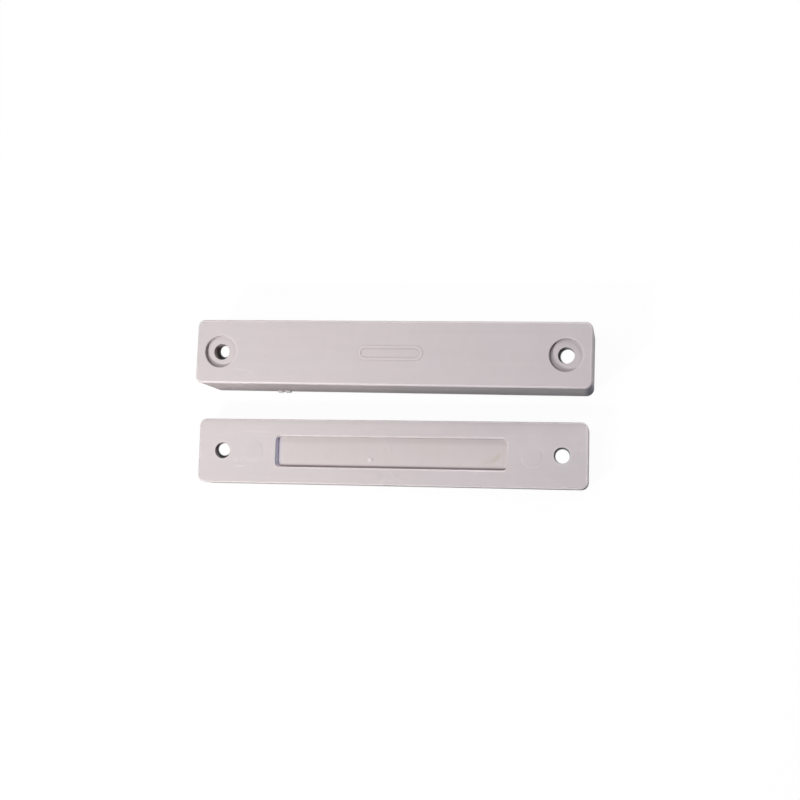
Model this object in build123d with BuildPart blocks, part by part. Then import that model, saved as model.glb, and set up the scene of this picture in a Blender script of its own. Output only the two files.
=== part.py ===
from build123d import *
import os

# Surface-mount magnetic contact: a deep switch half, front up, and beside it
# a shallow magnet half that lies on its front and shows its back.
# Millimetres. The origin is the middle between the two halves, on the surface
# that both lie on. +X runs along them and +Z points out of the switch's front.

# Case outline at the back edge, the same on both halves
bar_length = 101.8
bar_width = 16.8
corner_radius = 2.0
draft = 0.4
front_edge_round = 0.6
back_edge_round = 0.4

# Switch case
switch_depth = 16.0
front_wall = 2.2
side_wall = 1.5
end_wall = 1.0
bay_corner_radius = 0.8
bulkhead = 1.4
end_bay_length = 12.0

# Screw holes, the same places and sizes on both halves
screw_from_end = 6.6
screw_hole = 4.1
head_hole = 8.2
switch_head_depth = 1.0
switch_seat = 3.3
seat_boss = 11.4
magnet_seat = 2.2

# Raised rim on the switch half's front
rim_length = 16.3
rim_width = 3.5
rim_line = 0.45
rim_height = 0.15
rim_offset = 0.4

# Reed switch and the saddles that hold it under the front wall
glass_diameter = 2.6
glass_bore = 1.9
glass_length = 20.0
glass_seal = 2.4
glass_taper = 0.9
glass_taper_length = 1.4
reed_wire = 0.6
reed_shoulder = 0.4
reed_blade_width = 1.3
reed_blade_thickness = 0.25
reed_flare = 1.2
reed_overlap = 1.2
reed_gap = 0.1
reed_below_wall = 2.4
saddle_thickness = 1.2
saddle_width = 6.0
saddle_inset = 3.4

# Sleeves crimped on the reed wires, with a wider mouth for the lead's core
sleeve_diameter = 1.7
sleeve_length = 5.0
sleeve_grip = 2.6
sleeve_end_gap = 8.1
sleeve_mouth = 0.9
crimp_length = 1.4
crimp_bite = 0.25

# Fill in the switch's middle bay and over the magnet
recess_depth = 1.2
fill_lap = 0.5

# Inlet for the two leads, in the back edge of the long wall
lead_inset = 5.6
lead_hole = 1.1
lobe_diameter = 2.1
lobe_spacing = 2.1
lobe_lift = 0.1
lobe_stand_out = 0.45
lobe_step = 0.12
lobe_chamfer = 0.25
flange_lip = 0.6
flange_thickness = 0.8

# Magnet case, its pocket and its magnet
magnet_depth = 8.0
pocket_to_screw = 14.2
pocket_offset = 0.5
pocket_width = 8.0
pocket_corner_radius = 1.2
pocket_floor = 1.8
pocket_draft = 1.5
pocket_rim_chamfer = 0.35
magnet_end_gap = 5.0
magnet_side_gap = 0.8
magnet_thickness = 3.6
magnet_edge_round = 0.3

# Ejector-pin marks and the gate scar on the magnet half's back
ejector_mark = 5.4
ejector_height = 0.06
left_ejector_inset = 8.2
right_ejector_inset = 7.7
right_ejector_drop = 0.5
gate_width = 3.0
gate_height = 1.2
gate_bite = 0.2
gate_offset = 0.7

# How the two halves lie, from the magnet half's centre to the switch half's
pair_shift = 0.86
pair_spacing = 24.7
magnet_turn = 0.58

# Bays and levels in the switch case
bay_width = bar_width - 2 * side_wall
bay_roof = switch_depth - front_wall
reed_bay_length = bar_length - 2 * (end_wall + end_bay_length + bulkhead)
end_bay_spacing = bar_length - 2 * end_wall - end_bay_length
screw_spacing = bar_length - 2 * screw_from_end
seat_level = switch_depth - switch_head_depth - switch_seat
reed_level = bay_roof - reed_below_wall
reed_span = reed_bay_length - 2 * (sleeve_end_gap + sleeve_length - sleeve_grip)

# Pocket and magnet between the screw holes
pocket_length = screw_spacing - 2 * pocket_to_screw
magnet_length = pocket_length - 2 * magnet_end_gap
magnet_width = pocket_width - 2 * magnet_side_gap

# Planes of the switch half: its back, across it, and along its lead side
switch_base = Plane((pair_shift / 2, pair_spacing / 2, 0))
switch_across = Plane(switch_base.origin, x_dir=(0, 1, 0), z_dir=(1, 0, 0))
switch_along = Plane(switch_base.origin, x_dir=(1, 0, 0), z_dir=(0, -1, 0))

# Planes of the magnet half, turned as it lies
magnet_base = Plane((-pair_shift / 2, -pair_spacing / 2, 0)).rotated((0, 0, magnet_turn))
magnet_front = Plane(magnet_base.origin, x_dir=magnet_base.x_dir, z_dir=(0, 0, -1))
magnet_back = magnet_base.offset(magnet_depth)

# Middle of the lead inlet on the long wall
lead_x = lead_inset - reed_bay_length / 2
lobe_level = lobe_lift + lobe_diameter / 2
inlet_width = lobe_spacing + lobe_diameter

os.makedirs("parts", exist_ok=True)


# Switch case, a drafted moulding that is open at the back
with BuildPart() as switch_housing:
    with BuildSketch(switch_base):
        RectangleRounded(bar_length, bar_width, corner_radius)
    extrude(amount=switch_depth, taper=draft)
    fillet(switch_housing.faces().sort_by(Axis.Z)[-1].edges(), front_edge_round)

    # Middle bay for the reed switch, and a bay at each end for the screw
    with BuildSketch(switch_base):
        RectangleRounded(reed_bay_length, bay_width, bay_corner_radius)
        with GridLocations(end_bay_spacing, 0, 2, 1):
            RectangleRounded(end_bay_length, bay_width, bay_corner_radius)
    extrude(amount=bay_roof, mode=Mode.SUBTRACT)

    # Thick round seats under the front wall, where the screw heads pull
    with BuildSketch(switch_base.offset(seat_level)):
        with GridLocations(screw_spacing, 0, 2, 1):
            Circle(seat_boss / 2)
    extrude(amount=switch_seat)
    with Locations(switch_base.offset(switch_depth)):
        with GridLocations(screw_spacing, 0, 2, 1):
            CounterBoreHole(screw_hole / 2, head_hole / 2, switch_head_depth)

    # Saddles that hold the glass while the fill sets
    with BuildSketch(switch_base.offset(reed_level)):
        with GridLocations(glass_length - 2 * saddle_inset, 0, 2, 1):
            Rectangle(saddle_thickness, saddle_width)
    extrude(amount=reed_below_wall)
    with BuildSketch(switch_across):
        with Locations((0, reed_level)):
            Circle(glass_diameter / 2)
    extrude(amount=glass_length / 2, both=True, mode=Mode.SUBTRACT)

    # Notch for the lead grommet, open at the back edge
    with BuildSketch(switch_along.offset(bar_width / 2 - 2 * side_wall)):
        with Locations((lead_x, lobe_level)):
            SlotOverall(inlet_width, lobe_diameter)
        with Locations((lead_x, lobe_level / 2)):
            Rectangle(inlet_width, lobe_level)
    extrude(amount=3 * side_wall, mode=Mode.SUBTRACT)

    # Raised stadium rim in the middle of the front
    with BuildSketch(switch_base.offset(switch_depth)):
        with Locations((rim_offset, 0)):
            SlotOverall(rim_length, rim_width)
            SlotOverall(rim_length - 2 * rim_line, rim_width - 2 * rim_line, mode=Mode.SUBTRACT)
    extrude(amount=rim_height)
switch_housing.part.label = "switch_housing"
export_step(switch_housing.part, "parts/switch_housing.step")


# Grommet in the notch: a plug with a flange inside and two round lobes outside
with BuildPart() as lead_grommet:
    with BuildSketch(switch_along.offset(bar_width / 2)):
        with Locations((lead_x, lobe_level)):
            SlotOverall(inlet_width, lobe_diameter)
    extrude(amount=-side_wall)
    with BuildSketch(switch_along.offset(bar_width / 2 - side_wall)):
        with Locations((lead_x, lobe_level + flange_lip / 2)):
            Rectangle(inlet_width + 2 * flange_lip, lobe_diameter + flange_lip)
    extrude(amount=-flange_thickness)
    add(switch_housing.part, mode=Mode.SUBTRACT)
    with BuildSketch(switch_along.offset(bar_width / 2)):
        with Locations((lead_x, lobe_level)):
            with GridLocations(lobe_spacing, 0, 2, 1):
                Circle(lobe_diameter / 2 - lobe_step)
    extrude(amount=lobe_stand_out)
    chamfer(lead_grommet.faces().sort_by(Axis.Y)[:2].edges(), lobe_chamfer)
    with BuildSketch(switch_along.offset(bar_width / 2 + lobe_stand_out)):
        with Locations((lead_x, lobe_level)):
            with GridLocations(lobe_spacing, 0, 2, 1):
                Circle(lead_hole / 2)
    extrude(amount=-(2 * side_wall + lobe_stand_out), mode=Mode.SUBTRACT)
lead_grommet.part.label = "lead_grommet"
export_step(lead_grommet.part, "parts/lead_grommet.step")


# Glass tube of the reed switch, its ends drawn in and melted onto the wires
with BuildPart() as reed_capsule:
    with BuildSketch(switch_across):
        with Locations((0, reed_level)):
            Circle(glass_diameter / 2)
    extrude(amount=glass_length / 2, both=True)
    for end_face in reed_capsule.faces().filter_by(Axis.X):
        chamfer(end_face.edges(), glass_taper, glass_taper_length, reference=end_face)
    with BuildSketch(switch_across):
        with Locations((0, reed_level)):
            Circle(glass_bore / 2)
    extrude(amount=glass_length / 2 - glass_seal, both=True, mode=Mode.SUBTRACT)
    with BuildSketch(switch_across):
        with Locations((0, reed_level)):
            Circle(reed_wire / 2)
    extrude(amount=glass_length / 2, both=True, mode=Mode.SUBTRACT)
reed_capsule.part.label = "reed_capsule"
export_step(reed_capsule.part, "parts/reed_capsule.step")


def reed_blade(side):
    """Round wire that is pressed flat inside the glass. side is -1 or 1."""
    seal_face = glass_length / 2 - glass_seal
    blade_level = reed_level - side * (reed_gap + reed_blade_thickness) / 2
    with BuildPart() as blade:
        with BuildSketch(switch_across.offset(side * seal_face)):
            with Locations((0, reed_level)):
                Circle(reed_wire / 2)
        extrude(amount=side * (reed_span / 2 - seal_face))
        with BuildSketch(switch_across.offset(side * seal_face)):
            with Locations((0, reed_level)):
                Rectangle(reed_shoulder, reed_shoulder)
        with BuildSketch(switch_across.offset(side * (seal_face - reed_flare))):
            with Locations((0, blade_level)):
                Rectangle(reed_blade_width, reed_blade_thickness)
        loft(ruled=True)
        with BuildSketch(switch_across.offset(side * (seal_face - reed_flare))):
            with Locations((0, blade_level)):
                Rectangle(reed_blade_width, reed_blade_thickness)
        extrude(amount=-side * (seal_face - reed_flare + reed_overlap / 2))
    return blade


# The two reeds, the left one above the right one with the contact gap between
reed_blade_left = reed_blade(-1)
reed_blade_left.part.label = "reed_blade_left"
export_step(reed_blade_left.part, "parts/reed_blade_left.step")

reed_blade_right = reed_blade(1)
reed_blade_right.part.label = "reed_blade_right"
export_step(reed_blade_right.part, "parts/reed_blade_right.step")


def crimp_sleeve(side):
    """Sleeve crimped on a reed wire's end, its mouth open for a lead."""
    inner_end = reed_span / 2 - sleeve_grip
    with BuildPart() as sleeve:
        with BuildSketch(switch_across.offset(side * inner_end)):
            with Locations((0, reed_level)):
                Circle(sleeve_diameter / 2)
        extrude(amount=side * sleeve_length)
        with BuildSketch(switch_across.offset(side * inner_end)):
            with Locations((0, reed_level)):
                Circle(reed_wire / 2)
        extrude(amount=side * sleeve_grip, mode=Mode.SUBTRACT)
        with BuildSketch(switch_across.offset(side * reed_span / 2)):
            with Locations((0, reed_level)):
                Circle(sleeve_mouth / 2)
        extrude(amount=side * (sleeve_length - sleeve_grip), mode=Mode.SUBTRACT)
        # Flat bitten by the crimping tool, on the side away from the front wall
        with BuildSketch(switch_base.offset(reed_level - sleeve_diameter / 2)):
            with Locations((side * (inner_end + sleeve_grip / 2), 0)):
                Rectangle(crimp_length, sleeve_diameter)
        extrude(amount=crimp_bite, mode=Mode.SUBTRACT)
    return sleeve


crimp_sleeve_left = crimp_sleeve(-1)
crimp_sleeve_left.part.label = "crimp_sleeve_left"
export_step(crimp_sleeve_left.part, "parts/crimp_sleeve_left.step")

crimp_sleeve_right = crimp_sleeve(1)
crimp_sleeve_right.part.label = "crimp_sleeve_right"
export_step(crimp_sleeve_right.part, "parts/crimp_sleeve_right.step")


# Fill poured over the reed switch, shaped by the middle bay
with BuildPart() as switch_resin:
    with BuildSketch(switch_base.offset(recess_depth)):
        Rectangle(reed_bay_length + 2 * fill_lap, bay_width + 2 * fill_lap)
    extrude(amount=bay_roof - recess_depth + fill_lap)
    add(switch_housing.part, mode=Mode.SUBTRACT)
    add(lead_grommet.part, mode=Mode.SUBTRACT)
    add(reed_capsule.part, mode=Mode.SUBTRACT)
    add(reed_blade_left.part, mode=Mode.SUBTRACT)
    add(reed_blade_right.part, mode=Mode.SUBTRACT)
    add(crimp_sleeve_left.part, mode=Mode.SUBTRACT)
    add(crimp_sleeve_right.part, mode=Mode.SUBTRACT)
    # The sealed space inside the glass and the lead holes stay empty
    with BuildSketch(switch_across):
        with Locations((0, reed_level)):
            Circle(glass_bore / 2)
    extrude(amount=glass_length / 2 - glass_seal, both=True, mode=Mode.SUBTRACT)
    with BuildSketch(switch_along.offset(bar_width / 2)):
        with Locations((lead_x, lobe_level)):
            with GridLocations(lobe_spacing, 0, 2, 1):
                Circle(lead_hole / 2)
    extrude(amount=-(side_wall + flange_thickness), mode=Mode.SUBTRACT)
switch_resin.part.label = "switch_resin"
export_step(switch_resin.part, "parts/switch_resin.step")


# Magnet case, a shallow moulding with its widest edge at the back
with BuildPart() as magnet_housing:
    with BuildSketch(magnet_back):
        RectangleRounded(bar_length, bar_width, corner_radius)
    extrude(amount=-magnet_depth, taper=draft)
    fillet(magnet_housing.faces().sort_by(Axis.Z)[0].edges(), front_edge_round)
    fillet(magnet_housing.faces().sort_by(Axis.Z)[-1].edges(), back_edge_round)

    # Pocket for the magnet
    with BuildSketch(magnet_back):
        with Locations((pocket_offset, 0)):
            RectangleRounded(pocket_length, pocket_width, pocket_corner_radius)
    extrude(amount=-(magnet_depth - pocket_floor), taper=pocket_draft, mode=Mode.SUBTRACT)
    chamfer(magnet_housing.faces().sort_by(Axis.Z)[-1].inner_wires().edges(), pocket_rim_chamfer)

    # Screw holes, sunk deep from the front
    with Locations(magnet_front):
        with GridLocations(screw_spacing, 0, 2, 1):
            CounterBoreHole(screw_hole / 2, head_hole / 2, magnet_depth - magnet_seat)

    # Ejector-pin marks beside the screw holes
    with BuildSketch(magnet_back):
        with Locations(
            (left_ejector_inset - screw_spacing / 2, 0),
            (screw_spacing / 2 - right_ejector_inset, -right_ejector_drop),
        ):
            Circle(ejector_mark / 2)
    extrude(amount=ejector_height)

    # Scar where the gate was cut from the long edge
    with BuildSketch(magnet_back):
        with Locations((gate_offset, -bar_width / 2)):
            Rectangle(gate_width, 2 * gate_bite)
    extrude(amount=-gate_height, mode=Mode.SUBTRACT)
magnet_housing.part.label = "magnet_housing"
export_step(magnet_housing.part, "parts/magnet_housing.step")


# Bar magnet on the pocket's floor
with BuildPart() as bar_magnet:
    with BuildSketch(magnet_base.offset(pocket_floor)):
        with Locations((pocket_offset, 0)):
            Rectangle(magnet_length, magnet_width)
    extrude(amount=magnet_thickness)
    fillet(bar_magnet.edges().filter_by(Axis.Z), magnet_edge_round)
bar_magnet.part.label = "bar_magnet"
export_step(bar_magnet.part, "parts/bar_magnet.step")


# Fill over the magnet, its top a little below the case's back
with BuildPart() as magnet_resin:
    with BuildSketch(magnet_base.offset(pocket_floor - fill_lap)):
        with Locations((pocket_offset, 0)):
            Rectangle(pocket_length + 2 * fill_lap, pocket_width + 2 * fill_lap)
    extrude(amount=magnet_depth - recess_depth - pocket_floor + fill_lap)
    add(magnet_housing.part, mode=Mode.SUBTRACT)
    add(bar_magnet.part, mode=Mode.SUBTRACT)
magnet_resin.part.label = "magnet_resin"
export_step(magnet_resin.part, "parts/magnet_resin.step")
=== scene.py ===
import math

import bpy
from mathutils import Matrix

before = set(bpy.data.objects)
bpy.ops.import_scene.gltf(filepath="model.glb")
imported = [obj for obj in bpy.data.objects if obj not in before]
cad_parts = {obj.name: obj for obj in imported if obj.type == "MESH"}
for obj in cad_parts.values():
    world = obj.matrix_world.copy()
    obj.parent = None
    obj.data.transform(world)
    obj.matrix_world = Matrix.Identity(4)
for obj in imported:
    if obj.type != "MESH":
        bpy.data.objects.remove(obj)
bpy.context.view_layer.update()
bpy.ops.object.select_all(action="DESELECT")


# The camera looks down on the pair from over its right end, a little to the
# near side, as the photograph was taken.
mm = 0.001
camera_place = (58.39 * mm, -29.36 * mm, 307.22 * mm)
camera_turn = (6.142, 10.410, 2.107)
bpy.ops.object.camera_add(
    location=camera_place,
    rotation=[math.radians(angle) for angle in camera_turn],
)
camera = bpy.context.object
camera.name = "camera"
camera.data.lens = 53.53
camera.data.sensor_width = 36
camera.data.clip_start = 0.01
bpy.context.scene.camera = camera


# White board that both halves lie on. Round them it is bright, with a trace
# of their shadow. Under them its glow is cut down to painted shade, with a
# painted patch of light at each screw hole.
switch_centre = (0.43, 12.35)
magnet_centre = (-0.43, -12.35)
magnet_turn = 0.58
shaded_length = 100.6
shaded_width = 15.6
shade_rim = 0.3
board_side = 6
board_bounce = 0.15
board_glow = 0.95
painted_shade_glow = 0.035
board_shadow = 0.06
patch_rim = (0.86, 1.06)
# Painted patches of light: x, y, half length, half width.
painted_light_patches = (
    (-48.04, 14.58, 1.44, 1.62),
    (-46.83, -12.01, 1.80, 1.80),
    (44.52, 14.12, 1.98, 1.98),
    (43.66, -11.68, 1.92, 1.92),
)


def new_material(name):
    """Material with the nodes that a new one has."""
    material = bpy.data.materials.new(name)
    material.use_nodes = True
    return material


def add_node(material, kind, inputs, **settings):
    """Shader node with its settings, its numbers and what feeds it."""
    node = material.node_tree.nodes.new("ShaderNode" + kind)
    for name, value in settings.items():
        setattr(node, name, value)
    for name, value in inputs.items():
        if isinstance(value, bpy.types.NodeSocket):
            material.node_tree.links.new(value, node.inputs[name])
        else:
            node.inputs[name].default_value = value
    return node


def math_node(material, operation, first, second=0.0):
    """Two numbers added, multiplied and so on."""
    inputs = {0: first, 1: second}
    return add_node(material, "Math", inputs, operation=operation).outputs[0]


def vector_node(material, operation, first, second=(0, 0, 0)):
    """Two places subtracted, compared and so on."""
    inputs = {0: first, 1: second}
    return add_node(material, "VectorMath", inputs, operation=operation).outputs[0]


def length_of(material, vector):
    """How far a place lies from the point that it is measured from."""
    return add_node(material, "VectorMath", {0: vector}, operation="LENGTH").outputs["Value"]


def xyz(material, vector):
    """Place or direction taken apart into its X, Y and Z."""
    return add_node(material, "SeparateXYZ", {0: vector}).outputs


def fade(material, value, start, end, low, high):
    """Soft change from low to high while a value goes from start to end."""
    inputs = {
        "Value": value,
        "From Min": start,
        "From Max": end,
        "To Min": low,
        "To Max": high,
    }
    node = add_node(material, "MapRange", inputs, interpolation_type="SMOOTHSTEP")
    return node.outputs["Result"]


def measured_from(material, place, centre, turn=0, unit=(1, 1, 1)):
    """Place measured from a centre along turned axes, in a unit for each."""
    inputs = {
        "Vector": place,
        "Location": centre,
        "Rotation": (0, 0, math.radians(turn)),
        "Scale": unit,
    }
    return add_node(material, "Mapping", inputs, vector_type="TEXTURE").outputs[0]


def millimetres_from(material, centre, turn=0, level=0):
    """Place on the object in millimetres, measured from a point of it."""
    in_metres = add_node(material, "TexCoord", {}).outputs["Object"]
    start = (centre[0] * mm, centre[1] * mm, level * mm)
    return measured_from(material, in_metres, start, turn, (mm, mm, mm))


def under_half(material, centre, turn):
    """1 under one half, where the board is painted into shade, 0 beside it."""
    place = millimetres_from(material, centre, turn)
    away = xyz(material, vector_node(material, "ABSOLUTE", place))
    past_end = math_node(material, "SUBTRACT", away["X"], shaded_length / 2)
    past_side = math_node(material, "SUBTRACT", away["Y"], shaded_width / 2)
    past = math_node(material, "MAXIMUM", past_end, past_side)
    return fade(material, past, -shade_rim, 0.0, 1.0, 0.0)


def painted_light_patch(material, place, x, y, half_length, half_width):
    """1 where a patch of light is painted on the board under a screw hole."""
    inside = measured_from(material, place, (x, y, 0), 0, (half_length, half_width, 1))
    return fade(material, length_of(material, inside), *patch_rim, 1.0, 0.0)


def grey(level):
    """Plain grey of one brightness."""
    return (level, level, level, 1)


white_board = new_material("white_board")
white_board.node_tree.nodes.clear()
on_board = millimetres_from(white_board, (0, 0))
# Painted shade under both halves.
shade = math_node(
    white_board,
    "MAXIMUM",
    under_half(white_board, switch_centre, 0),
    under_half(white_board, magnet_centre, magnet_turn),
)
glow = fade(white_board, shade, 0.0, 1.0, board_glow, painted_shade_glow)
for patch in painted_light_patches:
    lit = painted_light_patch(white_board, on_board, *patch)
    glow = math_node(white_board, "MAXIMUM", glow, lit)
glowing = add_node(white_board, "Emission", {"Strength": glow}).outputs[0]
shadowed = add_node(white_board, "BsdfDiffuse", {"Color": grey(board_shadow)}).outputs[0]
looked_at = add_node(white_board, "AddShader", {0: glowing, 1: shadowed}).outputs[0]
lighting = add_node(white_board, "BsdfDiffuse", {"Color": grey(board_bounce)}).outputs[0]
rays = add_node(white_board, "LightPath", {}).outputs
seen = math_node(white_board, "MAXIMUM", rays["Is Camera Ray"], rays["Is Glossy Ray"])
seen = math_node(white_board, "MAXIMUM", seen, rays["Is Transmission Ray"])
board_shader = add_node(white_board, "MixShader", {0: seen, 1: lighting, 2: looked_at})
add_node(white_board, "OutputMaterial", {"Surface": board_shader.outputs[0]})

bpy.ops.mesh.primitive_plane_add(size=board_side, location=(0, 0, 0))
board = bpy.context.object
board.name = "board"
board.data.materials.append(white_board)


# Studio light: a small lamp near the left end on the near side, a broad one
# above, a weak one on the far side, a low one off the right end, and a little
# light from all round.
sky_strength = 0.05


def lamp(name, place, size, watts):
    """Round lamp that faces the middle of the pair."""
    bpy.ops.object.light_add(type="AREA", location=place)
    light = bpy.context.object
    light.name = name
    light.data.shape = "DISK"
    light.data.size = size
    light.data.energy = watts
    to_centre = -light.location
    light.rotation_euler = to_centre.to_track_quat("-Z", "Y").to_euler()


lamp("near_lamp", place=(-0.125, -0.145, 0.205), size=0.04, watts=0.485)
lamp("top_lamp", place=(-0.18, 0.08, 0.52), size=0.30, watts=1.06)
lamp("far_lamp", place=(0.20, 0.32, 0.30), size=0.25, watts=0.64)
lamp("low_lamp", place=(0.33, 0.16, 0.06), size=0.06, watts=0.31)

studio = bpy.data.worlds.new("studio")
bpy.context.scene.world = studio
studio.use_nodes = True
sky = studio.node_tree.nodes["Background"]
sky.inputs["Color"].default_value = grey(1)
sky.inputs["Strength"].default_value = sky_strength
bpy.context.scene.view_settings.view_transform = "Standard"


# The two cases are mouldings in satin warm grey ABS. The tool leaves a fine
# grain, faint flow lines along the bar and a slow change of tone. The edges
# are a little smoother, and a painted highlight makes them paler. The walls
# carry painted light and shade and a painted tint of the light on them.
plastic_left = (0.607, 0.545, 0.550, 1)
plastic_right = (0.594, 0.534, 0.552, 1)
plastic_cool = (0.560, 0.560, 0.560, 1)
cool_patches = (0.48, 0.72)
cool_share = 0.14
# The wall colours are a painted tint of the light on the walls.
painted_tint_wall_left = (0.622, 0.545, 0.552, 1)
painted_tint_wall_right = (0.570, 0.545, 0.568, 1)
colour_reach = (-45, 45)
wall_reach = (-48, 48)
end_wall = (50.1, 50.5)
upright = (0.0, 0.5)
edge_start = (0.15, 0.5)
edge_end = (0.95, 0.999)
edge_highlight_tone = 1.40
end_edge_highlight_tone = 1.05
end_wall_light_tone = 1.18
flow_line_size = (30, 1.1, 1.1)
flow_line_tone = 0.009
mottle_tone = 0.013
case_roughness = (0.52, 0.60)
wall_roughness = 0.12
edge_smoothness = 0.16
grain_height = 0.004
wave_height = 0.006
ring_depth = 4
ring_side = (-0.2, 0.9)
satin = {"Specular IOR Level": 0.35}


def times(material, *factors):
    """Numbers multiplied together."""
    product = factors[0]
    for factor in factors[1:]:
        product = math_node(material, "MULTIPLY", product, factor)
    return product


def mixed(material, share, first, second):
    """Colour between two, by the share of the second."""
    inputs = {"Fac": share, "Color1": first, "Color2": second}
    return add_node(material, "MixRGB", inputs).outputs[0]


def only_where(material, share, factor):
    """A factor where the share is 1, going over to no change where it is 0."""
    inputs = {"Factor": share, 2: 1.0, 3: factor}
    return add_node(material, "Mix", inputs, data_type="FLOAT").outputs[0]


def band(material, value, rise, fall):
    """1 between two limits of a value, with a soft change to 0 at each."""
    return times(
        material,
        fade(material, value, *rise, 0.0, 1.0),
        fade(material, value, *fall, 1.0, 0.0),
    )


def cloud(material, place, scale, detail=2.0):
    """Smooth noise from 0 to 1."""
    inputs = {"Vector": place, "Scale": scale, "Detail": detail}
    return add_node(material, "TexNoise", inputs).outputs["Fac"]


def drawn_cloud(material, place, size, detail=2.0):
    """Smooth noise drawn out, with the size of its patches along each axis."""
    return cloud(material, measured_from(material, place, (0, 0, 0), 0, size), 1.0, detail)


def spread(material, noise, low, high):
    """Noise, most of which lies from 0.3 to 0.7, spread from low to high."""
    return fade(material, noise, 0.3, 0.7, low, high)


def facing(material, axis):
    """How squarely a face looks along an axis, from 0 to 1."""
    normal = add_node(material, "TexCoord", {}).outputs["Normal"]
    return math_node(material, "ABSOLUTE", xyz(material, normal)[axis])


def dab(material, place, centre, size, turn, edge, middle, soft=0.3):
    """Oval of one value, by its half sizes, with a soft rim into the value round it."""
    inside = measured_from(material, place, centre, turn, size)
    return fade(material, length_of(material, inside), soft, 1.0, middle, edge)


def marked(material, place, tone, level, depth, marks):
    """Tone with oval marks on one face, each paler or darker than round it."""
    for x, y, half_length, half_width, turn, mark_tone in marks:
        size = (half_length, half_width, depth)
        mark = dab(material, place, (x, y, level), size, turn, 1.0, mark_tone)
        tone = times(material, tone, mark)
    return tone


def painted_light_ring(material, place, centre, radius, width, peak, toward, all_round):
    """Thin round line of painted light or shade, strongest on the side that it faces."""
    inside = measured_from(material, place, centre, 0, (radius, radius, ring_depth))
    off = math_node(material, "SUBTRACT", length_of(material, inside), 1.0)
    off = math_node(material, "ABSOLUTE", off)
    line = fade(material, off, 0.0, width / radius, 1.0, 0.0)
    way = (math.cos(math.radians(toward)), math.sin(math.radians(toward)), 0)
    inputs = {0: inside, 1: way}
    ahead = add_node(material, "VectorMath", inputs, operation="DOT_PRODUCT").outputs["Value"]
    share = fade(material, ahead, *ring_side, all_round, 1.0)
    return math_node(material, "ADD", times(material, line, share, peak), 1.0)


def case_colour(material, place, along, wall):
    """Grey that drifts along the bar, cooler in patches, with a painted tint of the light on its
    walls.
    """
    side = fade(material, along, *colour_reach, 0.0, 1.0)
    patches = fade(material, cloud(material, place, 0.07, 1.0), *cool_patches, 0.0, cool_share)
    face = mixed(material, side, plastic_left, plastic_right)
    face = mixed(material, patches, face, plastic_cool)
    return mixed(material, wall, face, mixed(material, side, painted_tint_wall_left, painted_tint_wall_right))


def painted_wall_light(material, along, level, foot_tone, foot_height, left_tone, right_tone):
    """Painted light and shade on the walls: darker towards the foot, brighter on the right end.
    """
    return times(
        material,
        fade(material, level, 0.0, foot_height, foot_tone, 1.0),
        fade(material, along, *wall_reach, left_tone, right_tone),
        fade(material, along, *end_wall, 1.0, end_wall_light_tone),
    )


def moulded_plastic(name, centre, turn, **walls):
    """Plastic of one case, with sockets for the marks that are its own."""
    material = new_material(name)
    place = millimetres_from(material, centre, turn)
    sides = xyz(material, place)
    flat = facing(material, "Z")
    wall = fade(material, flat, *upright, 1.0, 0.0)
    edge = band(material, flat, edge_start, edge_end)
    colour = case_colour(material, place, sides["X"], wall)

    mottle = cloud(material, place, 0.28, 3.0)
    flow = drawn_cloud(material, place, flow_line_size)
    # Painted highlight on the rounded edges, weaker on the ends.
    painted_edge_highlight = fade(material, facing(material, "X"), 0.0, 0.6, edge_highlight_tone, end_edge_highlight_tone)
    tone = times(
        material,
        spread(material, mottle, 1 - mottle_tone, 1 + mottle_tone),
        spread(material, flow, 1 - flow_line_tone, 1 + flow_line_tone),
        only_where(material, wall, painted_wall_light(material, sides["X"], sides["Z"], **walls)),
        only_where(material, edge, painted_edge_highlight),
    )

    rough = spread(material, mottle, *case_roughness)
    rougher = fade(material, wall, 0.0, 1.0, 0.0, wall_roughness)
    smoother = fade(material, edge, 0.0, 1.0, 0.0, edge_smoothness)
    rough = math_node(material, "ADD", rough, rougher)
    rough = math_node(material, "SUBTRACT", rough, smoother)
    height = math_node(
        material,
        "ADD",
        times(material, cloud(material, place, 7.0), grain_height),
        times(material, cloud(material, place, 0.35, 1.0), wave_height),
    )
    return material, place, colour, tone, rough, height


def toned(material, colour, tone):
    """Colour made paler or darker."""
    inputs = {0: colour, "Scale": tone}
    return add_node(material, "VectorMath", inputs, operation="SCALE").outputs[0]


def finish(material, colour, rough, height, settings):
    """Colour, roughness, relief in millimetres and the shader's own settings."""
    relief = add_node(material, "Bump", {"Height": height, "Distance": mm, "Strength": 1.0})
    shader = material.node_tree.nodes["Principled BSDF"]
    fed = {"Base Color": colour, "Roughness": rough, "Normal": relief.outputs[0]}
    for name, value in fed.items():
        material.node_tree.links.new(value, shader.inputs[name])
    for name, value in settings.items():
        shader.inputs[name].default_value = value


def dress(node_name, material):
    """Material put on a solid in place of its plain one."""
    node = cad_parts[node_name]
    node.data.materials.clear()
    node.data.materials.append(material)


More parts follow.
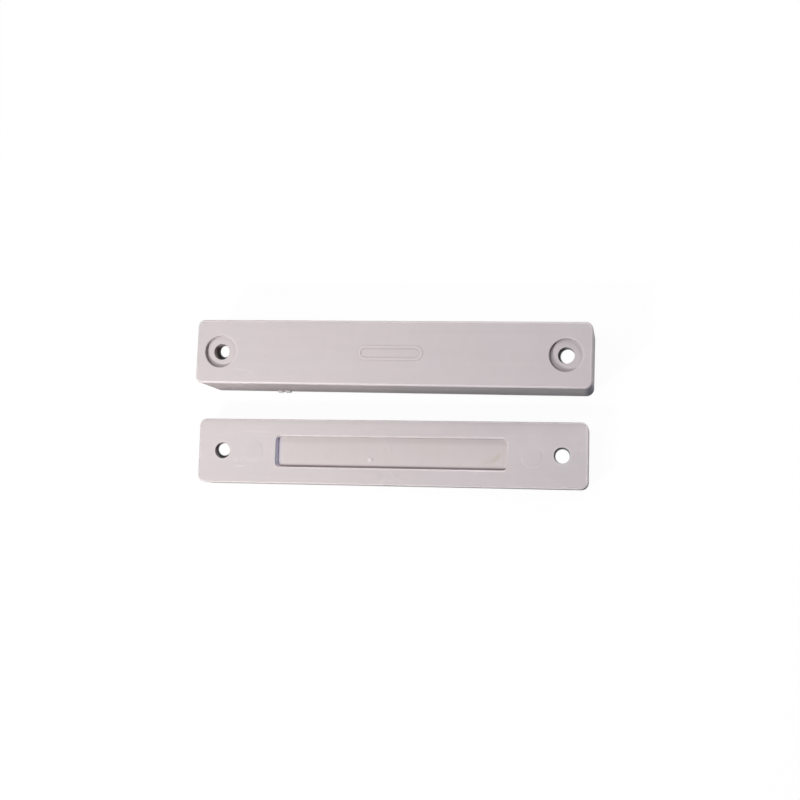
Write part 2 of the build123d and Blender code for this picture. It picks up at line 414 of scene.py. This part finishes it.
# Switch case, the deep moulding. Its front has a faint curved rub and two
# specks, and its near wall is scuffed towards the left end. Painted shade
# darkens the head recesses, the left screw bore and the near right corner,
# with painted highlights on the recesses' far rims, and the raised rim
# carries a painted highlight with painted shade beside it.
screw_places = (-44.3, 44.3)
through = 99
bore_size = (2.2, 2.2, through)
bore_rim = 0.94
case_mark_depth = 1.5
switch_front = 16.0
switch_bore_shade_tone = 0.62
rim_offset = 0.4
rim_straight = 12.8
rim_radius = 1.525
rim_highlight = 1.09
rim_shade_side = (-0.2, 0.2)
rim_shade_inside = 0.095
rim_shade_outside = 0.045
rim_line = (0.18, 0.32)
rim_shade_start = (0.26, 0.40)
rim_shade_end = (0.45, 0.80)
near_side = (-8.2, -8.05)
near_wall_left = (-42, -34)
near_wall_left_tones = (1.05, 0.91)
near_wall_middle = (-24, -10)
near_wall_middle_tones = (1.0, 1.08)
scuff_size = (1.7, 1, 2.4)
scuff_patches = (0.40, 0.66)
scuff_swing = (-0.5, 1.0)
scuffed_reach = (-49, -20)
scuff_strengths = (0.13, 0.03)
corner_shade_place = (50.6, -8.1, 7.0)
corner_shade_size = (2.3, 2.3, 16)
corner_shade_share = 0.95
corner_shade_colour = (0.25, 0.25, 0.335, 1)
corner_shade_top = (14.8, 15.5)
# The wall numbers set painted shade at the foot and painted light along the bar.
switch_plastic, on_switch, colour, tone, rough, height = moulded_plastic(
    "switch_case_plastic",
    switch_centre,
    turn=0,
    foot_tone=0.63,
    foot_height=10.0,
    left_tone=1.15,
    right_tone=0.81,
)
rub_and_specks = (
    (-39.0, -4.7, 2.8, 0.34, -4, 1.045),
    (-35.7, -5.4, 1.6, 0.34, -25, 1.045),
    (-32.07, -1.09, 0.28, 0.28, 0, 0.86),
    (36.05, -3.35, 0.26, 0.26, 0, 0.88),
)
tone = marked(switch_plastic, on_switch, tone, switch_front, case_mark_depth, rub_and_specks)
# Painted shade round each head recess, strongest on its near left side, and a painted highlight
# on its far rim.
for x in screw_places:
    for radius, width, peak, toward in (
        (4.14, 0.22, -0.62, 212),
        (3.85, 0.40, -0.20, 215),
        (4.30, 0.40, 0.12, 25),
        (3.80, 0.40, -0.09, 30),
    ):
        middle = (x, 0, switch_front)
        mark = painted_light_ring(switch_plastic, on_switch, middle, radius, width, peak, toward, all_round=0.0)
        tone = times(switch_plastic, tone, mark)
# Painted shade in the left screw bore.
left_bore = (screw_places[0], 0, 0)
painted_bore_shade = dab(
    switch_plastic, on_switch, left_bore, bore_size, 0, 1.0, switch_bore_shade_tone, bore_rim
)

sides = xyz(switch_plastic, on_switch)
near_wall = fade(switch_plastic, sides["Y"], *near_side, 1.0, 0.0)
scuffs = drawn_cloud(switch_plastic, on_switch, scuff_size, 3.0)
scuffs = times(
    switch_plastic,
    fade(switch_plastic, scuffs, *scuff_patches, *scuff_swing),
    fade(switch_plastic, sides["X"], *scuffed_reach, *scuff_strengths),
)
# Besides the scuffs, the near wall is paler at its left end and darker past it.
wall_change = times(
    switch_plastic,
    fade(switch_plastic, sides["X"], *near_wall_left, *near_wall_left_tones),
    fade(switch_plastic, sides["X"], *near_wall_middle, *near_wall_middle_tones),
    math_node(switch_plastic, "ADD", scuffs, 1.0),
)


def from_core(material, place, core_x, half_length, half_width):
    """How far a place lies from the flat middle of a rounded oblong."""
    away = vector_node(material, "ABSOLUTE", measured_from(material, place, (core_x, 0, 0)))
    core = (half_length, half_width, through)
    away = vector_node(material, "SUBTRACT", away, core)
    return length_of(material, vector_node(material, "MAXIMUM", away))


# Painted highlight along the raised rim, with painted shade beside it.
from_rim = from_core(switch_plastic, on_switch, rim_offset, rim_straight / 2, 0)
from_rim = math_node(switch_plastic, "SUBTRACT", from_rim, rim_radius)
rim_shade_strength = fade(switch_plastic, from_rim, *rim_shade_side, rim_shade_inside, rim_shade_outside)
from_rim = math_node(switch_plastic, "ABSOLUTE", from_rim)
painted_rim_shade = band(switch_plastic, from_rim, rim_shade_start, rim_shade_end)
painted_rim_shade = times(switch_plastic, painted_rim_shade, rim_shade_strength)
tone = times(
    switch_plastic,
    tone,
    painted_bore_shade,
    only_where(switch_plastic, near_wall, wall_change),
    fade(switch_plastic, from_rim, *rim_line, rim_highlight, 1.0),
    math_node(switch_plastic, "SUBTRACT", 1.0, painted_rim_shade),
)
# Painted shade, dark blue-grey, on the near right corner below the front.
painted_corner_shade = times(
    switch_plastic,
    dab(switch_plastic, on_switch, corner_shade_place, corner_shade_size, 0, 0.0, corner_shade_share),
    fade(switch_plastic, sides["Z"], *corner_shade_top, 1.0, 0.0),
)
colour = mixed(switch_plastic, painted_corner_shade, colour, corner_shade_colour)
finish(switch_plastic, toned(switch_plastic, colour, tone), rough, height, satin)
dress("switch_housing", switch_plastic)


# Lead grommet, pressed into the notch in the switch case: soft pale grey
# rubber with a matt skin, with painted shade round each lead hole.
grommet_centre = (switch_centre[0] - 31.4, 3.9)
grommet_level = 1.15
lead_hole_places = (-1.05, 1.05)
lead_hole_size = (0.85, 2.5, 0.85)
lead_hole_shade_tone = 0.68
lead_hole_rim = 0.6
skin_height = 0.02
rubber_colour = (0.72, 0.67, 0.68)
grommet_rubber = new_material("pale_rubber")
place = millimetres_from(grommet_rubber, grommet_centre, level=grommet_level)
skin = cloud(grommet_rubber, place, 2.2, 3.0)
tone = spread(grommet_rubber, skin, 0.93, 1.04)
for x in lead_hole_places:
    middle = (x, 0, 0)
    painted_hole_shade = dab(
        grommet_rubber, place, middle, lead_hole_size, 0, 1.0, lead_hole_shade_tone, lead_hole_rim
    )
    tone = times(grommet_rubber, tone, painted_hole_shade)
finish(
    grommet_rubber,
    toned(grommet_rubber, rubber_colour, tone),
    spread(grommet_rubber, skin, 0.62, 0.78),
    times(grommet_rubber, cloud(grommet_rubber, place, 5.0), skin_height),
    {"Specular IOR Level": 0.2},
)
dress("lead_grommet", grommet_rubber)


# Reed switch tube: clear, slightly green glass with gas inside. Both ends
# are melted onto the wires, which leaves them darker, wavy and less clear.
glass_level = 11.4
clear_green = (0.80, 0.93, 0.86, 1)
melted_green = (0.42, 0.50, 0.40, 1)
melted_reach = (7.0, 9.6)
glass_line_size = (6, 0.7, 0.7)
reed_glass = new_material("green_tinted_glass")
place = millimetres_from(reed_glass, switch_centre, level=glass_level)
from_middle = math_node(reed_glass, "ABSOLUTE", xyz(reed_glass, place)["X"])
melted = fade(reed_glass, from_middle, *melted_reach, 0.0, 1.0)
finish(
    reed_glass,
    mixed(reed_glass, melted, clear_green, melted_green),
    fade(reed_glass, melted, 0.0, 1.0, 0.02, 0.12),
    times(
        reed_glass,
        drawn_cloud(reed_glass, place, glass_line_size),
        fade(reed_glass, melted, 0.0, 1.0, 0.01, 0.06),
    ),
    {"Transmission Weight": 1.0, "IOR": 1.5},
)
dress("reed_capsule", reed_glass)


# The two reeds: nickel-iron wire, drawn and then pressed flat inside the
# glass. Their tips are plated, so they are whiter and smoother.
bare_wire = (0.60, 0.57, 0.52, 1)
plated_tip = (0.80, 0.79, 0.77, 1)
plated_reach = (1.6, 2.2)
wire_line_size = (4, 0.05, 0.05)
wire_line_height = 0.004
nickel_iron = new_material("nickel_iron_wire")
place = millimetres_from(nickel_iron, switch_centre, level=glass_level)
from_middle = math_node(nickel_iron, "ABSOLUTE", xyz(nickel_iron, place)["X"])
tip = fade(nickel_iron, from_middle, *plated_reach, 1.0, 0.0)
draw_lines = drawn_cloud(nickel_iron, place, wire_line_size, 3.0)
colour = mixed(nickel_iron, tip, bare_wire, plated_tip)
finish(
    nickel_iron,
    toned(nickel_iron, colour, spread(nickel_iron, draw_lines, 0.90, 1.04)),
    math_node(
        nickel_iron,
        "SUBTRACT",
        spread(nickel_iron, draw_lines, 0.28, 0.42),
        fade(nickel_iron, tip, 0.0, 1.0, 0.0, 0.12),
    ),
    times(nickel_iron, draw_lines, wire_line_height),
    {"Metallic": 1.0},
)
dress("reed_blade_left", nickel_iron)
dress("reed_blade_right", nickel_iron)


# Sleeves crimped over the reed wires: tinned copper, dull and reddish where
# the tin is thin, and marked across where the crimping tool bit.
bright_tin = (0.79, 0.78, 0.76, 1)
thin_tin = (0.62, 0.50, 0.38, 1)
thin_places = (0.60, 0.78)
thin_share = 0.6
tin_height = 0.02
tooth_height = 0.012
bitten = (-0.7, -0.55)
tinned_copper = new_material("tinned_copper")
place = millimetres_from(tinned_copper, switch_centre, level=glass_level)
tinning = cloud(tinned_copper, place, 1.6, 4.0)
thin = fade(tinned_copper, tinning, *thin_places, 0.0, thin_share)
teeth = add_node(
    tinned_copper,
    "TexWave",
    {"Vector": place, "Scale": 1.3, "Distortion": 0.6},
    wave_type="BANDS",
    bands_direction="X",
)
bite = fade(tinned_copper, xyz(tinned_copper, place)["Z"], *bitten, tooth_height, 0.0)
finish(
    tinned_copper,
    mixed(tinned_copper, thin, bright_tin, thin_tin),
    spread(tinned_copper, tinning, 0.24, 0.46),
    math_node(
        tinned_copper,
        "ADD",
        times(tinned_copper, teeth.outputs["Fac"], bite),
        times(tinned_copper, tinning, tin_height),
    ),
    {"Metallic": 1.0},
)
dress("crimp_sleeve_left", tinned_copper)
dress("crimp_sleeve_right", tinned_copper)


# Fill poured into the switch case's middle bay over the reed switch: grey
# two-part resin that sets dull, with slow waves and a few pin holes left by
# bubbles on its open face.
switch_fill_colours = ((0.575, 0.535, 0.520, 1), (0.600, 0.555, 0.545, 1))
blotches = (0.35, 0.65)
ripple_tone = (0.985, 1.012)
resin_roughness = (0.50, 0.62)
ripple_height = 0.012
resin_grain_height = 0.004
pin_hole_radius = 0.045
pin_hole_depth = 0.05


def cast_resin(name, centre, turn, colours):
    """Resin in one half, with its place, colour, tone, roughness and relief."""
    material = new_material(name)
    place = millimetres_from(material, centre, turn)
    blotch = fade(material, cloud(material, place, 0.10), *blotches, 0.0, 1.0)
    ripple = cloud(material, place, 0.30)
    pits = add_node(
        material, "TexVoronoi", {"Vector": place, "Scale": 0.16}, feature="F1"
    ).outputs["Distance"]
    height = math_node(
        material,
        "ADD",
        times(material, ripple, ripple_height),
        times(material, cloud(material, place, 5.0), resin_grain_height),
    )
    pin_holes = fade(material, pits, 0.0, pin_hole_radius, -pin_hole_depth, 0.0)
    return (
        material,
        place,
        mixed(material, blotch, *colours),
        spread(material, ripple, *ripple_tone),
        spread(material, ripple, *resin_roughness),
        math_node(material, "ADD", height, pin_holes),
    )


switch_fill, on_fill, colour, tone, rough, height = cast_resin(
    "switch_fill", switch_centre, 0, switch_fill_colours
)
finish(switch_fill, toned(switch_fill, colour, tone), rough, height, satin)
dress("switch_resin", switch_fill)


# Magnet case, the shallow half, lying on its front. Its back carries two
# ejector rings, streaks where the plastic ran, a paler blush with a notch at
# the gate, and a few scuffs. Painted highlight and shade show up the ejector
# rings, and painted highlights run round the screw holes, along the right
# edge and along the pocket's near lip. Painted shade darkens the left screw
# bore, the far edge and the pocket's left lip, which is tinted blue, and
# painted light grows across the back towards the far side.
magnet_back = 8.0
magnet_bore_shade_tone = 0.50
left_ejector = (-36.1, 0.1, magnet_back)
right_ejector = (37.0, -0.5, magnet_back)
ejector_radius = 2.70
ejector_line = 0.32
hole_rim_radius = 2.35
hole_rim_line = 0.35
hole_rim_highlight = 0.05
far_edge_reach = (6.9, 7.8)
far_edge_shade_tone = 0.945
whole_width = (-8.0, 7.0)
whole_width_light_tones = (0.982, 1.025)
right_edge = ((50.0, 50.4), (50.6, 50.8))
right_edge_highlight = 0.09
near_lip = ((-4.6, -4.35), (-4.0, -3.8))
near_lip_end = (29.6, 30.4)
near_lip_highlight = 0.10
left_lip = ((-31.2, -30.7), (-29.0, -28.5))
left_lip_end = (3.1, 4.2)
sloped = (0.90, 0.99)
lip_slope = (0.1, 0.6)
lip_light_and_shade_tones = (1.30, 0.62)
lip_shade_blue = (0.545, 0.535, 0.650, 1)
# The wall numbers set painted shade at the foot and painted light along the bar.
magnet_plastic, on_magnet, colour, tone, rough, height = moulded_plastic(
    "magnet_case_plastic",
    magnet_centre,
    magnet_turn,
    foot_tone=0.9,
    foot_height=6.0,
    left_tone=1.25,
    right_tone=0.95,
)
streaks_and_scuffs = (
    (-35.0, 5.05, 6.0, 0.45, -2, 1.05),
    (-36.0, 6.1, 8.0, 0.35, 0, 1.03),
    (-9.0, 5.95, 2.2, 0.35, 0, 1.05),
    (10.0, 6.3, 12.0, 0.30, 0, 1.02),
    (-39.4, -4.05, 2.2, 0.42, 2, 1.09),
    (-39.4, -3.3, 3.6, 0.30, 2, 0.975),
    (-40.7, -2.5, 0.9, 0.6, 0, 1.05),
    (-36.1, 0.1, 2.6, 2.6, 0, 0.982),
    (-1.2, -7.3, 1.5, 0.7, 28, 1.06),
    (0.65, -7.1, 0.8, 0.55, 0, 1.06),
    (3.2, -7.0, 1.6, 0.5, -28, 1.05),
    (1.2, -5.6, 0.4, 1.2, 20, 1.03),
    (-1.6, -5.9, 1.6, 1.0, 0, 0.965),
    (2.6, -5.8, 1.0, 1.0, 0, 0.975),
    (22.6, -5.0, 1.0, 0.6, 10, 1.03),
    (49.0, 1.34, 0.45, 0.45, 0, 1.06),
    (-24.0, -6.9, 10.0, 0.30, 0, 1.02),
    (28.0, -6.8, 9.0, 0.30, 0, 1.02),
)
tone = marked(
    magnet_plastic, on_magnet, tone, magnet_back, case_mark_depth, streaks_and_scuffs
)
# The rings stand up only a trace, so painted highlight and shade show them.
for middle, toward, all_round, peak in (
    (left_ejector, -60, 0.2, 0.05),
    (left_ejector, 20, 0.0, -0.05),
    (right_ejector, -120, 0.1, 0.10),
    (right_ejector, 0, 0.0, 0.015),
):
    mark = painted_light_ring(
        magnet_plastic,
        on_magnet,
        middle,
        ejector_radius,
        ejector_line,
        peak,
        toward,
        all_round,
    )
    tone = times(magnet_plastic, tone, mark)
# Painted highlight round each screw hole.
for x in screw_places:
    mark = painted_light_ring(
        magnet_plastic,
        on_magnet,
        (x, 0, magnet_back),
        hole_rim_radius,
        hole_rim_line,
        hole_rim_highlight,
        toward=0,
        all_round=1.0,
    )
    tone = times(magnet_plastic, tone, mark)

sides = xyz(magnet_plastic, on_magnet)
flat = facing(magnet_plastic, "Z")
from_middle = math_node(magnet_plastic, "ABSOLUTE", sides["X"])
off_middle = math_node(magnet_plastic, "ABSOLUTE", sides["Y"])
# Painted shade along the far edge and painted light growing towards the far side.
painted_across_light = times(
    magnet_plastic,
    fade(magnet_plastic, sides["Y"], *far_edge_reach, 1.0, far_edge_shade_tone),
    fade(magnet_plastic, sides["Y"], *whole_width, *whole_width_light_tones),
)
# Painted highlight along the right end's edge.
painted_right_edge_highlight = times(
    magnet_plastic, band(magnet_plastic, sides["X"], *right_edge), right_edge_highlight
)
# Painted highlight along the pocket's near lip.
painted_near_lip_highlight = times(
    magnet_plastic,
    band(magnet_plastic, sides["Y"], *near_lip),
    fade(magnet_plastic, from_middle, *near_lip_end, near_lip_highlight, 0.0),
)
# Painted blue-tinted light and shade on the pocket's left lip: lighter on its wall, darker on its
# slope.
painted_left_lip_shade = times(
    magnet_plastic,
    band(magnet_plastic, sides["X"], *left_lip),
    fade(magnet_plastic, flat, *sloped, 1.0, 0.0),
    fade(magnet_plastic, off_middle, *left_lip_end, 1.0, 0.0),
)
left_lip_light_and_shade = fade(magnet_plastic, flat, *lip_slope, *lip_light_and_shade_tones)
# Painted shade in the left screw bore, with the painted light and shade set above.
tone = times(
    magnet_plastic,
    tone,
    dab(magnet_plastic, on_magnet, left_bore, bore_size, 0, 1.0, magnet_bore_shade_tone, bore_rim),
    painted_across_light,
    math_node(magnet_plastic, "ADD", painted_right_edge_highlight, 1.0),
    math_node(magnet_plastic, "ADD", painted_near_lip_highlight, 1.0),
    only_where(magnet_plastic, painted_left_lip_shade, left_lip_light_and_shade),
)
colour = mixed(magnet_plastic, painted_left_lip_shade, colour, lip_shade_blue)
finish(magnet_plastic, toned(magnet_plastic, colour, tone), rough, height, satin)
dress("magnet_housing", magnet_plastic)


# Bar magnet in the pocket: sintered ferrite, near black, ground along its
# length, with open pores.
ferrite_colour = (0.085, 0.082, 0.085)
grinding_size = (9, 0.12, 0.12)
grinding_height = 0.006
pore_places = (0.62, 0.72)
pore_tone = 0.6
pore_depth = 0.03
ferrite = new_material("sintered_ferrite")
place = millimetres_from(ferrite, magnet_centre, magnet_turn)
grinding = drawn_cloud(ferrite, place, grinding_size, 3.0)
pores = fade(ferrite, cloud(ferrite, place, 3.0, 4.0), *pore_places, 0.0, 1.0)
tone = times(
    ferrite,
    spread(ferrite, grinding, 0.80, 1.20),
    fade(ferrite, pores, 0.0, 1.0, 1.0, pore_tone),
)
finish(
    ferrite,
    toned(ferrite, ferrite_colour, tone),
    spread(ferrite, grinding, 0.42, 0.62),
    math_node(
        ferrite,
        "SUBTRACT",
        times(ferrite, grinding, grinding_height),
        times(ferrite, pores, pore_depth),
    ),
    {"Specular IOR Level": 0.5},
)
dress("bar_magnet", ferrite)


# Fill over the magnet: the same resin, set a little below the rim. It has a
# brown stain near its right end, a white speck that stands up a little, made
# paler by painted light, with a painted shadow on one side, two fine lines
# along it and a fan of fine wrinkles. Painted shade lies along its edges,
# strongest under the near wall and tinted blue at the left end, with painted
# light by the far wall and at the right end.
resin_top = 6.8
fill_mark_depth = 2
stain_depth = 3
magnet_fill_colours = ((0.592, 0.531, 0.526, 1), (0.597, 0.534, 0.541, 1))
left_stretch = (-29, -8)
left_colour = (0.588, 0.534, 0.519, 1)
stain_colour = (0.540, 0.478, 0.425, 1)
under_near_wall = (-3.75, -2.95)
painted_shadow_colour = (0.285, 0.235, 0.245, 1)
left_end = (-29.3, -28.3)
left_end_shade_colour = (0.540, 0.520, 0.610, 1)
pocket_offset = 0.5
pocket_core_half_length = 28.07
pocket_core_half_width = 1.97
wall_crease_reach = (0.70, 1.05)
wall_crease_shade_tone = 0.97
far_shade = (1.9, 2.7)
far_shade_tone = 0.945
far_light = (2.9, 3.6)
far_light_tone = 1.05
right_light = (29.5, 30.2)
right_light_tone = 1.06
left_shade = (-29.3, -28.7)
left_shade_tone = 0.86
speck_place = (-4.9, -1.8, resin_top)
speck_size = (0.8, 1.0, fill_mark_depth)
speck_turn = 20
speck_height = 0.12
magnet_fill, on_fill, colour, tone, rough, height = cast_resin(
    "magnet_fill", magnet_centre, magnet_turn, magnet_fill_colours
)
sides = xyz(magnet_fill, on_fill)
on_left = fade(magnet_fill, sides["X"], *left_stretch, 0.7, 0.0)
colour = mixed(magnet_fill, on_left, colour, left_colour)
for x, y, half_length, half_width, turn, share in (
    (27.6, -1.1, 2.3, 1.0, 35, 0.95),
    (28.4, -0.2, 1.3, 1.0, 40, 0.45),
    (25.4, -1.9, 2.2, 0.8, 8, 0.40),
):
    size = (half_length, half_width, stain_depth)
    stain = dab(magnet_fill, on_fill, (x, y, resin_top), size, turn, 0.0, share, 0.0)
    colour = mixed(magnet_fill, stain, colour, stain_colour)
# Painted shadow of the near wall on the fill.
painted_near_wall_shadow = fade(magnet_fill, sides["Y"], *under_near_wall, 1.0, 0.0)
colour = mixed(magnet_fill, painted_near_wall_shadow, colour, painted_shadow_colour)
# Painted blue shade at the fill's left end.
painted_left_end_shade = fade(magnet_fill, sides["X"], *left_end, 0.8, 0.0)
colour = mixed(magnet_fill, painted_left_end_shade, colour, left_end_shade_colour)

# The speck with its painted highlight and painted shadow, then the lines and wrinkles.
speck_shadow_lines_and_wrinkles = (
    (-4.94, -1.84, 0.50, 0.75, 20, 1.26),
    (-4.15, -1.65, 0.40, 0.60, 20, 0.87),
    (-18.0, 2.45, 11.0, 0.20, 0, 0.965),
    (-20.0, 1.75, 9.0, 0.20, 0, 0.975),
    (-1.9, 1.2, 0.25, 1.2, 22, 1.045),
    (-1.1, 1.0, 0.22, 1.2, 20, 0.95),
    (0.0, 0.9, 0.25, 1.5, 16, 1.05),
    (0.7, 0.9, 0.22, 1.5, 16, 0.95),
    (-0.4, -0.6, 0.35, 0.5, 0, 0.97),
)
tone = marked(
    magnet_fill, on_fill, tone, resin_top, fill_mark_depth, speck_shadow_lines_and_wrinkles
)
from_wall = from_core(
    magnet_fill,
    on_fill,
    pocket_offset,
    pocket_core_half_length,
    pocket_core_half_width,
)
# Painted shade in the crease by the wall all round, in a band under the far wall and at the left
# end; painted light right by the far wall and at the right end.
tone = times(
    magnet_fill,
    tone,
    fade(magnet_fill, from_wall, *wall_crease_reach, 1.0, wall_crease_shade_tone),
    fade(magnet_fill, sides["Y"], *far_shade, 1.0, far_shade_tone),
    fade(magnet_fill, sides["Y"], *far_light, 1.0, far_light_tone),
    fade(magnet_fill, sides["X"], *right_light, 1.0, right_light_tone),
    fade(magnet_fill, sides["X"], *left_shade, left_shade_tone, 1.0),
)
speck = dab(
    magnet_fill, on_fill, speck_place, speck_size, speck_turn, 0.0, speck_height, 0.0
)
height = math_node(magnet_fill, "ADD", height, speck)
finish(magnet_fill, toned(magnet_fill, colour, tone), rough, height, satin)
dress("magnet_resin", magnet_fill)


bpy.context.view_layer.update()
